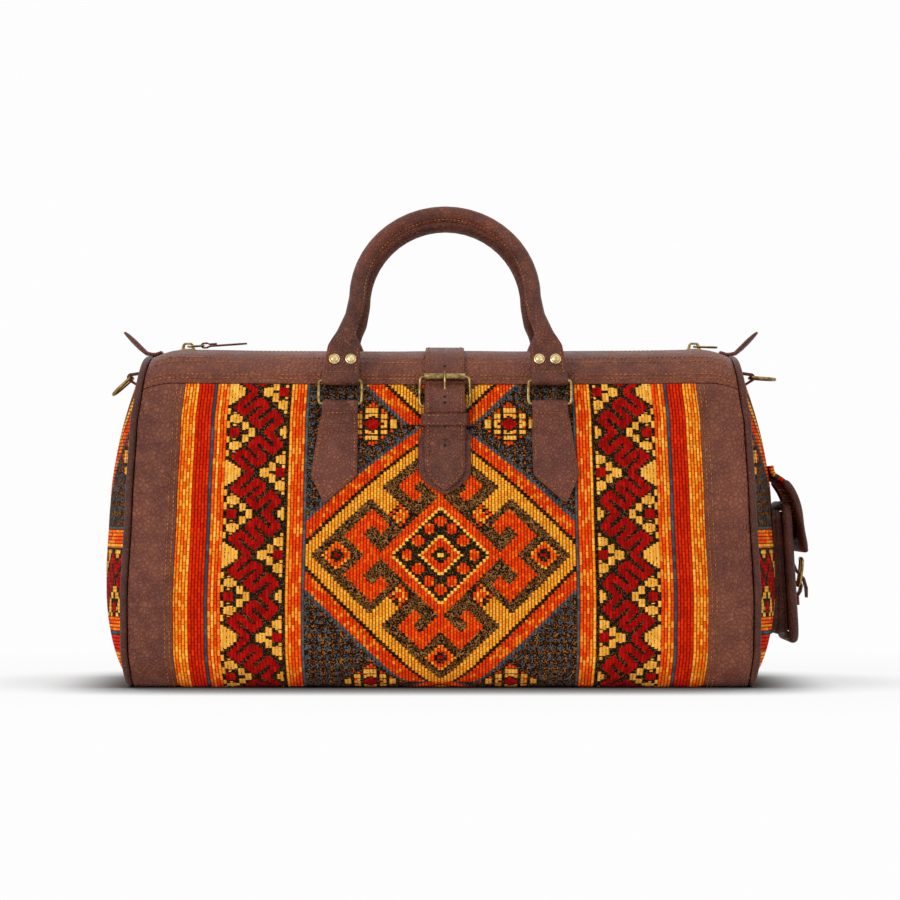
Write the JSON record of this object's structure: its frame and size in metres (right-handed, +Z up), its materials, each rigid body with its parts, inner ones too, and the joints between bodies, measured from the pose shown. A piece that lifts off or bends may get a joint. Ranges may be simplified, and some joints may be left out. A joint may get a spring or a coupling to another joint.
{
  "type": "travel_bag",
  "caption": "Weekender travel bag of woven kilim panels with brown leather bands, rolled handles, zip top with buckled strap, D-rings and a flapped end pocket",
  "frame": {"origin": "centre of the flat underside, where the bag stands on the floor", "axes": "+X along the bag to the end with the pocket, +Y from the front to the back, +Z up"},
  "size_m": [0.5787, 0.25, 0.3902],
  "materials": {
    "kilim": "woven wool, orange, amber, red, dark ground",
    "brown_leather": "matt waxed",
    "piping_leather": "matt waxed",
    "strap_leather": "matt waxed, raw edges",
    "handle_leather": "satin, rolled",
    "antique_brass": "antique, brushed",
    "zip_metal": "antique",
    "zip_tape_cloth": "woven tape",
    "lining_cloth": "plain weave",
    "base_board": "stiff fibre board"
  },
  "bodies": {
    "bag": {"back_kilim_panel": "kilim", "back_left_band": "brown_leather", "back_left_patch": "strap_leather", "back_right_band": "brown_leather", "back_right_patch": "strap_leather", "base_board": "base_board", "base_panel": "brown_leather", "buckle_frame": "antique_brass", "buckle_strap": "strap_leather", "closing_strap": "strap_leather", "front_kilim_panel": "kilim", "front_left_band": "brown_leather", "front_left_patch": "strap_leather", "front_right_band": "brown_leather", "front_right_patch": "strap_leather", "left_ear_tab": "strap_leather", "left_end_panel": "kilim", "left_piping": "piping_leather", "left_ring_loop": "strap_leather", "lining": "lining_cloth", "pocket_chape": "strap_leather", "pocket_flap": "kilim", "pocket_flap_binding": "piping_leather", "pocket_front_binding": "piping_leather", "pocket_front_panel": "kilim", "pocket_gusset": "piping_leather", "pocket_tongue": "strap_leather", "right_ear_tab": "strap_leather", "right_end_panel": "kilim", "right_piping": "piping_leather", "right_ring_loop": "strap_leather", "strap_keeper": "strap_leather", "top_band_back": "brown_leather", "top_band_front": "brown_leather", "zip_chain": "zip_metal", "zip_tape": "zip_tape_cloth"},
    "front_rings": {"front_left_ring": "antique_brass", "front_right_ring": "antique_brass"},
    "front_grip": {"front_handle": "handle_leather", "front_left_rivet_a": "antique_brass", "front_left_rivet_b": "antique_brass", "front_right_rivet_a": "antique_brass", "front_right_rivet_b": "antique_brass"},
    "back_rings": {"back_left_ring": "antique_brass", "back_right_ring": "antique_brass"},
    "back_grip": {"back_handle": "handle_leather", "back_left_rivet_a": "antique_brass", "back_left_rivet_b": "antique_brass", "back_right_rivet_a": "antique_brass", "back_right_rivet_b": "antique_brass"},
    "left_d_ring_body": {"left_d_ring": "antique_brass"},
    "right_d_ring_body": {"right_d_ring": "antique_brass"},
    "left_slider_body": {"left_slider": "antique_brass"},
    "left_pull": {"left_pull_link": "antique_brass", "left_pull_tab": "strap_leather"},
    "right_slider_body": {"right_slider": "antique_brass"},
    "right_pull": {"right_pull_link": "antique_brass"},
    "roller": {"buckle_roller": "antique_brass"},
    "prong": {"buckle_prong": "antique_brass"},
    "pocket_buckle_body": {"pocket_buckle": "antique_brass"}
  },
  "joints": [
    {"name": "front_ring_swing", "type": "hinge", "parent": "bag", "child": "front_rings", "pos_m": [0.0035, -0.11317, 0.228], "axis": [1, 0, 0], "range_deg": [0, 85]},
    {"name": "front_handle_swing", "type": "hinge", "parent": "front_rings", "child": "front_grip", "pos_m": [0.0035, -0.11183, 0.24715], "axis": [1, 0, 0], "range_deg": [-15, 100]},
    {"name": "back_ring_swing", "type": "hinge", "parent": "bag", "child": "back_rings", "pos_m": [0.0035, 0.11317, 0.228], "axis": [-1, 0, 0], "range_deg": [0, 85]},
    {"name": "back_handle_swing", "type": "hinge", "parent": "back_rings", "child": "back_grip", "pos_m": [0.0035, 0.11183, 0.24715], "axis": [-1, 0, 0], "range_deg": [-15, 100]},
    {"name": "left_d_ring_swing", "type": "hinge", "parent": "bag", "child": "left_d_ring_body", "pos_m": [-0.25661, 0, 0.2525], "axis": [0, 1, 0], "range_deg": [-16, 100]},
    {"name": "right_d_ring_swing", "type": "hinge", "parent": "bag", "child": "right_d_ring_body", "pos_m": [0.25661, 0, 0.2525], "axis": [0, -1, 0], "range_deg": [-54, 62]},
    {"name": "left_slider_run", "type": "slide", "parent": "bag", "child": "left_slider_body", "axis": [1, 0, 0], "range_m": [0, 0.14]},
    {"name": "left_pull_swing", "type": "hinge", "parent": "left_slider_body", "child": "left_pull", "pos_m": [-0.21, 0, 0.27838], "axis": [0, -1, 0], "range_deg": [0, 150]},
    {"name": "right_slider_run", "type": "slide", "parent": "bag", "child": "right_slider_body", "axis": [-1, 0, 0], "range_m": [0, 0.16]},
    {"name": "right_pull_swing", "type": "hinge", "parent": "right_slider_body", "child": "right_pull", "pos_m": [0.21, 0, 0.27838], "axis": [0, -1, 0], "range_deg": [0, 172]},
    {"name": "roller_spin", "type": "hinge", "parent": "bag", "child": "roller", "pos_m": [0.00334, -0.10976, 0.25021], "axis": [1, 0, 0], "continuous": true},
    {"name": "prong_lift", "type": "hinge", "parent": "bag", "child": "prong", "pos_m": [0.00338, -0.11463, 0.22577], "axis": [1, 0, 0], "range_deg": [0, 5]},
    {"name": "pocket_buckle_swing", "type": "hinge", "parent": "bag", "child": "pocket_buckle_body", "pos_m": [0.29606, 0, 0.08], "axis": [0, 1, 0], "range_deg": [0, 75]}
  ]
}
